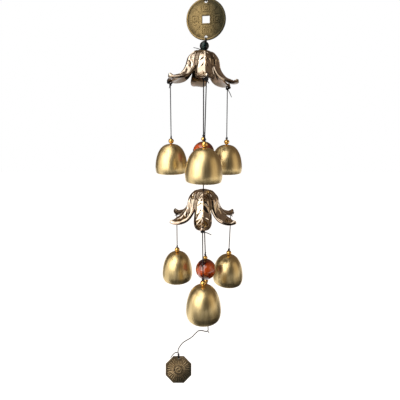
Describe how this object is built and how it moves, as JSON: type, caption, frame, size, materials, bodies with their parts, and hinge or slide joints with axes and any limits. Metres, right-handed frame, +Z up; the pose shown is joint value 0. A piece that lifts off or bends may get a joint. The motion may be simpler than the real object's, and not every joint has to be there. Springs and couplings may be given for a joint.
{
  "type": "wind chime",
  "caption": "Hanging bell chime: coin and loop, flower-shaped canopies carrying brass bells with clappers, glass striker beads between them, and an eight-sided plate on a tail cord.",
  "frame": {"origin": "inside of the hanging loop's top, where a hook holds it", "axes": "+Z up along the hanging chime, -Y to the front, +X to its right"},
  "size_m": [0.1066, 0.0993, 0.4963],
  "materials": {
    "cord": "twisted waxed cord",
    "thin_cord": "thin twisted waxed cord",
    "coin_bronze": "aged antique bronze",
    "black_glass": "glossy black glass",
    "canopy_metal": "polished, slightly warm plated casting",
    "bell_brass": "satin turned brass",
    "bead_gold": "polished gold-coloured brass",
    "amber_glass": "clear amber glass",
    "clapper_brass": "turned brass",
    "plate_bronze": "aged antique bronze"
  },
  "bodies": {
    "hanger": {"hang_loop": "cord", "hang_knot": "cord", "coin_tie": "cord"},
    "coin": {"coin": "coin_bronze"},
    "link": {"link_cord": "cord", "black_bead": "black_glass", "upper_canopy_knot": "cord"},
    "upper_canopy": {"upper_canopy": "canopy_metal", "upper_petal_knots": "thin_cord"},
    "upper_front_bell": {"upper_front_bell": "bell_brass", "upper_front_bead": "bead_gold", "upper_front_cord": "thin_cord"},
    "upper_front_clapper": {"upper_front_clapper": "clapper_brass", "upper_front_clapper_cord": "thin_cord"},
    "upper_left_bell": {"upper_left_bell": "bell_brass", "upper_left_bead": "bead_gold", "upper_left_cord": "thin_cord"},
    "upper_left_clapper": {"upper_left_clapper": "clapper_brass", "upper_left_clapper_cord": "thin_cord"},
    "upper_right_bell": {"upper_right_bell": "bell_brass", "upper_right_bead": "bead_gold", "upper_right_cord": "thin_cord"},
    "upper_right_clapper": {"upper_right_clapper": "clapper_brass", "upper_right_clapper_cord": "thin_cord"},
    "upper_striker": {"upper_striker_cord": "cord", "upper_spacer_bead": "bead_gold", "upper_striker": "amber_glass", "upper_striker_knot": "cord", "lower_canopy_knot": "cord"},
    "lower_canopy": {"lower_canopy": "canopy_metal", "lower_petal_knots": "thin_cord"},
    "lower_front_bell": {"lower_front_bell": "bell_brass", "lower_front_bead": "bead_gold", "lower_front_cord": "thin_cord"},
    "lower_front_clapper": {"lower_front_clapper": "clapper_brass", "lower_front_clapper_cord": "thin_cord"},
    "lower_left_bell": {"lower_left_bell": "bell_brass", "lower_left_bead": "bead_gold", "lower_left_cord": "thin_cord"},
    "lower_left_clapper": {"lower_left_clapper": "clapper_brass", "lower_left_clapper_cord": "thin_cord"},
    "lower_right_bell": {"lower_right_bell": "bell_brass", "lower_right_bead": "bead_gold", "lower_right_cord": "thin_cord"},
    "lower_right_clapper": {"lower_right_clapper": "clapper_brass", "lower_right_clapper_cord": "thin_cord"},
    "lower_striker": {"lower_striker_cord": "cord", "lower_spacer_bead": "bead_gold", "lower_striker": "amber_glass", "lower_under_bead": "bead_gold", "lower_striker_knot": "cord"},
    "tail": {"tail_cord": "thin_cord", "tail_knot": "thin_cord", "plate_tie": "thin_cord"},
    "plate": {"plate": "plate_bronze"}
  },
  "joints": [
    {"name": "coin_swing", "type": "hinge", "parent": "hanger", "child": "coin", "pos_m": [0.0025, 0, -0.0472], "axis": [0.1392, 0.9903, 0], "range_deg": [-25, 25]},
    {"name": "link_swing", "type": "hinge", "parent": "coin", "child": "link", "pos_m": [0.0025, 0, -0.0825], "axis": [0.1392, 0.9903, 0], "range_deg": [-20, 20]},
    {"name": "upper_canopy_spin", "type": "hinge", "parent": "link", "child": "upper_canopy", "pos_m": [0, 0, -0.097], "axis": [0, 0, 1], "continuous": true},
    {"name": "upper_front_bell_swing", "type": "hinge", "parent": "upper_canopy", "child": "upper_front_bell", "pos_m": [0.00223, -0.03821, -0.13239], "axis": [-0.9925, -0.1219, 0], "range_deg": [-3, 25]},
    {"name": "upper_front_clapper_swing", "type": "hinge", "parent": "upper_front_bell", "child": "upper_front_clapper", "pos_m": [0.00044, -0.03821, -0.20072], "axis": [-0.9925, -0.1219, 0], "range_deg": [-30, 30]},
    {"name": "upper_left_bell_swing", "type": "hinge", "parent": "upper_canopy", "child": "upper_left_bell", "pos_m": [-0.03781, 0.01504, -0.12959], "axis": [0.3907, 0.9205, 0], "range_deg": [-3, 25]},
    {"name": "upper_left_clapper_swing", "type": "hinge", "parent": "upper_left_bell", "child": "upper_left_clapper", "pos_m": [-0.03781, 0.01504, -0.20114], "axis": [0.3907, 0.9205, 0], "range_deg": [-30, 30]},
    {"name": "upper_right_bell_swing", "type": "hinge", "parent": "upper_canopy", "child": "upper_right_bell", "pos_m": [0.02822, 0.02317, -0.13421], "axis": [0.6018, -0.7986, 0], "range_deg": [-3, 25]},
    {"name": "upper_right_clapper_swing", "type": "hinge", "parent": "upper_right_bell", "child": "upper_right_clapper", "pos_m": [0.02822, 0.02317, -0.20276], "axis": [0.6018, -0.7986, 0], "range_deg": [-30, 30]},
    {"name": "upper_striker_swing", "type": "hinge", "parent": "link", "child": "upper_striker", "pos_m": [0, 0, -0.1015], "axis": [-1, 0, 0], "range_deg": [-1.5, 3]},
    {"name": "lower_canopy_spin", "type": "hinge", "parent": "upper_striker", "child": "lower_canopy", "pos_m": [0, 0, -0.25], "axis": [0, 0, 1], "continuous": true},
    {"name": "lower_front_bell_swing", "type": "hinge", "parent": "lower_canopy", "child": "lower_front_bell", "pos_m": [-0.00134, -0.03848, -0.28515], "axis": [-0.9994, 0.0349, 0], "range_deg": [-3, 25]},
    {"name": "lower_front_clapper_swing", "type": "hinge", "parent": "lower_front_bell", "child": "lower_front_clapper", "pos_m": [-0.00046, -0.03848, -0.34829], "axis": [-0.9994, 0.0349, 0], "range_deg": [-30, 30]},
    {"name": "lower_left_bell_swing", "type": "hinge", "parent": "lower_canopy", "child": "lower_left_bell", "pos_m": [-0.03265, 0.0204, -0.28515], "axis": [0.5299, 0.848, 0], "range_deg": [-3, 25]},
    {"name": "lower_left_clapper_swing", "type": "hinge", "parent": "lower_left_bell", "child": "lower_left_clapper", "pos_m": [-0.03265, 0.0204, -0.3383], "axis": [0.5299, 0.848, 0], "range_deg": [-30, 30]},
    {"name": "lower_right_bell_swing", "type": "hinge", "parent": "lower_canopy", "child": "lower_right_bell", "pos_m": [0.03399, 0.01807, -0.28515], "axis": [0.4695, -0.8829, 0], "range_deg": [-3, 25]},
    {"name": "lower_right_clapper_swing", "type": "hinge", "parent": "lower_right_bell", "child": "lower_right_clapper", "pos_m": [0.03203, 0.01807, -0.34127], "axis": [0.4695, -0.8829, 0], "range_deg": [-30, 30]},
    {"name": "lower_striker_swing", "type": "hinge", "parent": "upper_striker", "child": "lower_striker", "pos_m": [0, 0, -0.2545], "axis": [-1, 0, 0], "range_deg": [-1.5, 3]},
    {"name": "tail_swing", "type": "hinge", "parent": "lower_striker", "child": "tail", "pos_m": [0.0036, 0, -0.36549], "axis": [-1, 0, 0], "range_deg": [-20, 20]},
    {"name": "plate_swing", "type": "hinge", "parent": "tail", "child": "plate", "pos_m": [-0.0308, -0.0004, -0.4662], "axis": [0, 0.9848, -0.1736], "range_deg": [-35, 35]}
  ]
}
